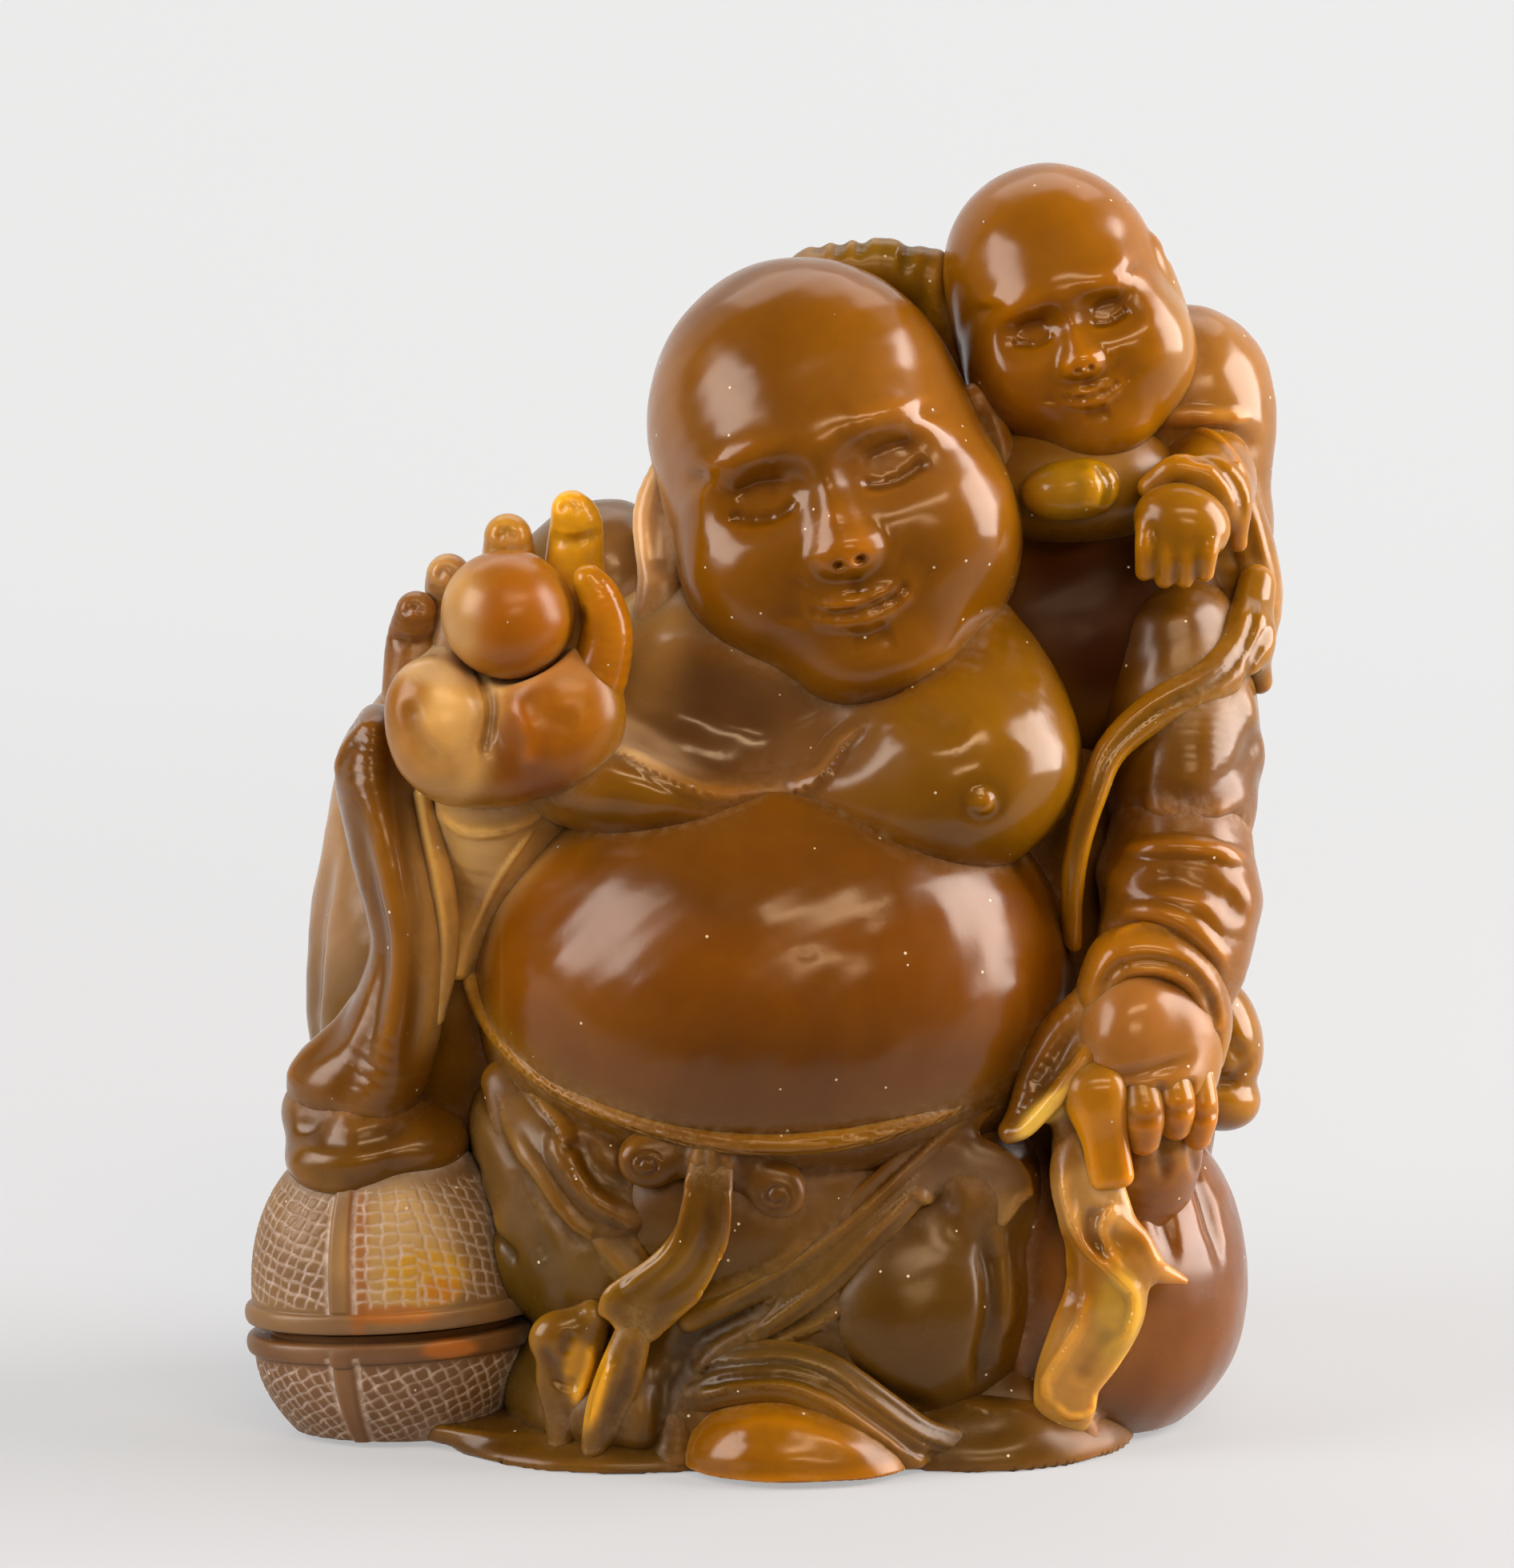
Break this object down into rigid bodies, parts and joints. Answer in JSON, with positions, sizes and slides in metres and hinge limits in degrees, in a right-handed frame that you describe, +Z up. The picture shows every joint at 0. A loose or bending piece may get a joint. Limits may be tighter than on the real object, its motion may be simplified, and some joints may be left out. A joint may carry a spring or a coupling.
{
  "type": "laughing buddha statue",
  "caption": "Palm-sized carved soapstone figure of a seated laughing buddha with a pearl, a cloth sack, a lidded woven basket and a child on the shoulder; stands on its flat base.",
  "frame": {"origin": "middle of the figure's bounding box in plan, on the underside of the ground slab", "axes": "+Z up, -Y towards the viewer (the figure faces -Y), +X to the viewer's right, which is the figure's left"},
  "size_m": [0.0682, 0.0454, 0.0828],
  "materials": {
    "stone_amber": "high polish, translucent honey amber",
    "stone_brown": "polished, thick brown core of the stone",
    "stone_russet": "polished, reddish brown",
    "stone_gold": "high polish, clear golden yellow in thin edges",
    "stone_pale": "polished, cloudy yellow with the chisel's pale residue in the grooves"
  },
  "bodies": {
    "root": {"ground_slab": "stone_brown", "robe": "stone_russet", "belly": "stone_amber", "lap": "stone_brown", "head": "stone_amber", "chest": "stone_amber", "left_shoulder": "stone_brown", "child_chest": "stone_brown", "sack": "stone_russet", "sack_neck": "stone_russet", "left_knee": "stone_brown", "right_thigh": "stone_brown", "basket_bowl": "stone_brown", "basket_lid": "stone_pale", "pearl": "stone_gold", "right_palm": "stone_pale", "right_forearm": "stone_pale", "right_index_finger": "stone_pale", "right_middle_finger": "stone_pale", "right_ring_finger": "stone_pale", "right_little_finger": "stone_pale", "right_thumb": "stone_gold", "right_sleeve": "stone_russet", "right_sleeve_edge": "stone_pale", "basket_cloth": "stone_russet", "right_ear": "stone_pale", "left_ear": "stone_amber", "child_head": "stone_amber", "child_robe": "stone_amber", "child_left_hand": "stone_gold", "child_left_sleeve": "stone_amber", "child_right_hand": "stone_gold", "child_right_arm": "stone_brown", "child_robe_fall": "stone_gold", "left_hand": "stone_amber", "left_lower_sleeve": "stone_russet", "left_upper_sleeve": "stone_russet", "left_index_finger": "stone_gold", "left_middle_finger": "stone_gold", "left_ring_finger": "stone_gold", "left_little_finger": "stone_gold", "left_cuff": "stone_gold", "left_cuff_fall": "stone_gold", "robe_edge": "stone_gold", "robe_tail": "stone_gold", "sack_tie": "stone_gold", "waistband": "stone_gold", "sash_bow": "stone_brown", "sash_upper_tail": "stone_gold", "sash_lower_tail": "stone_amber", "sash_side_tail": "stone_amber", "shoe": "stone_gold", "trouser_hem": "stone_brown", "trouser_fold_upper": "stone_brown", "trouser_fold_side": "stone_brown", "robe_back_fold_upper": "stone_russet", "robe_back_fold_middle": "stone_russet", "robe_back_fold_lower": "stone_russet"}
  },
  "joints": []
}
